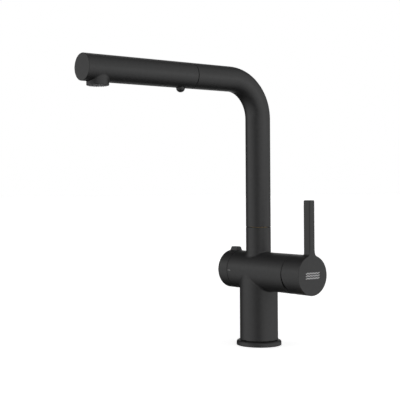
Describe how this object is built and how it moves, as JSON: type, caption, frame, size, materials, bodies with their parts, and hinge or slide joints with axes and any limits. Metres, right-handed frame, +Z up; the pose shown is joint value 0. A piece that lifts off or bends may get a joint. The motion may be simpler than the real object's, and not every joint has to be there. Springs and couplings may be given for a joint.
{
  "type": "kitchen mixer tap",
  "caption": "Matt black single-lever kitchen mixer with an L-shaped swivel spout, a pull-out spray head, a side lever and an appliance-valve knob.",
  "frame": {"origin": "where the column's axis meets the top of the deck, at the middle of the base ring's underside", "axes": "+Z up along the column, -Y along the spout towards the user, +X towards the lever"},
  "size_m": [0.1303, 0.26, 0.3631],
  "materials": {
    "black_coat": "matt black powder coat, fine grain",
    "brass": "machined brass",
    "steel": "stainless steel",
    "rubber": "black EPDM",
    "white_plastic": "moulded acetal",
    "grey_plastic": "moulded plastic",
    "black_plastic": "moulded plastic",
    "ceramic": "lapped alumina",
    "silicone": "soft grey silicone",
    "nylon_braid": "braided nylon sheath",
    "pale_print": "pale grey print"
  },
  "bodies": {
    "mixer": {"base_ring": "black_coat", "base_gasket": "rubber", "mounting_shank": "brass", "clamp_gasket": "rubber", "clamp_washer": "steel", "mounting_nut": "brass", "mixer_body": "black_coat", "index_mark": "pale_print", "cartridge_seal": "rubber", "cartridge_base": "white_plastic", "fixed_disc": "ceramic", "cartridge_housing": "grey_plastic", "cartridge_nut": "brass", "trim_dome": "black_coat", "headwork_housing": "brass", "headwork_fixed_disc": "ceramic", "headwork_seal": "rubber", "lower_swivel_bush": "white_plastic", "upper_swivel_bush": "white_plastic", "spout_grub_screw": "steel"},
    "mixing_carrier": {"stem_carrier": "white_plastic", "pivot_pin": "steel"},
    "disc_carriage": {"moving_disc": "ceramic", "disc_slider": "white_plastic"},
    "lever": {"lever_handle": "black_coat", "lever_stem": "steel", "lever_grub_screw": "steel", "screw_plug": "black_plastic", "emblem_mark": "pale_print"},
    "knob": {"control_knob": "black_coat", "valve_spindle": "brass", "knob_screw": "steel", "headwork_moving_disc": "ceramic"},
    "spout": {"spout_tube": "black_coat", "swivel_sleeve": "brass", "docking_bush": "white_plastic", "spray_hose": "nylon_braid"},
    "spray_head": {"spray_shell": "black_coat", "hose_nut": "brass", "spray_spigot": "white_plastic", "spigot_o_ring": "rubber", "check_valve": "grey_plastic", "diverter_housing": "white_plastic", "waterway_tube": "grey_plastic", "nozzle_chamber": "white_plastic", "spray_face": "silicone", "aerator_insert": "grey_plastic", "diverter_spring": "steel"},
    "button": {"diverter_button": "black_coat", "diverter_spool": "brass"}
  },
  "joints": [
    {"name": "lever_turn", "type": "hinge", "parent": "mixer", "child": "mixing_carrier", "pos_m": [0.057, 0, 0.0828], "axis": [1, 0, 0], "range_deg": [-45, 45]},
    {"name": "lever_tilt", "type": "hinge", "parent": "mixing_carrier", "child": "lever", "pos_m": [0.057, 0, 0.0828], "axis": [0, 1, 0], "range_deg": [0, 12]},
    {"name": "disc_slide", "type": "slide", "parent": "mixing_carrier", "child": "disc_carriage", "axis": [0, 0, 1], "range_m": [0, 0.0037]},
    {"name": "knob_turn", "type": "hinge", "parent": "mixer", "child": "knob", "pos_m": [-0.0378, 0, 0.0828], "axis": [1, 0, 0], "range_deg": [0, 90]},
    {"name": "spout_swivel", "type": "hinge", "parent": "mixer", "child": "spout", "pos_m": [0, 0, 0.1324], "axis": [0, 0, 1], "range_deg": [-60, 60]},
    {"name": "spray_pull", "type": "slide", "parent": "spout", "child": "spray_head", "axis": [0, -1, 0], "range_m": [0, 0.35], "deforming": ["spray_hose"]},
    {"name": "button_press", "type": "slide", "parent": "spray_head", "child": "button", "axis": [0, 0, 1], "range_m": [0, 0.0014], "stiffness_N_per_m": 400, "deforming": ["diverter_spring"]}
  ],
  "couplings": [
    {"joint": "disc_slide", "follows": "lever_tilt", "m_per_rad": 0.0176}
  ]
}
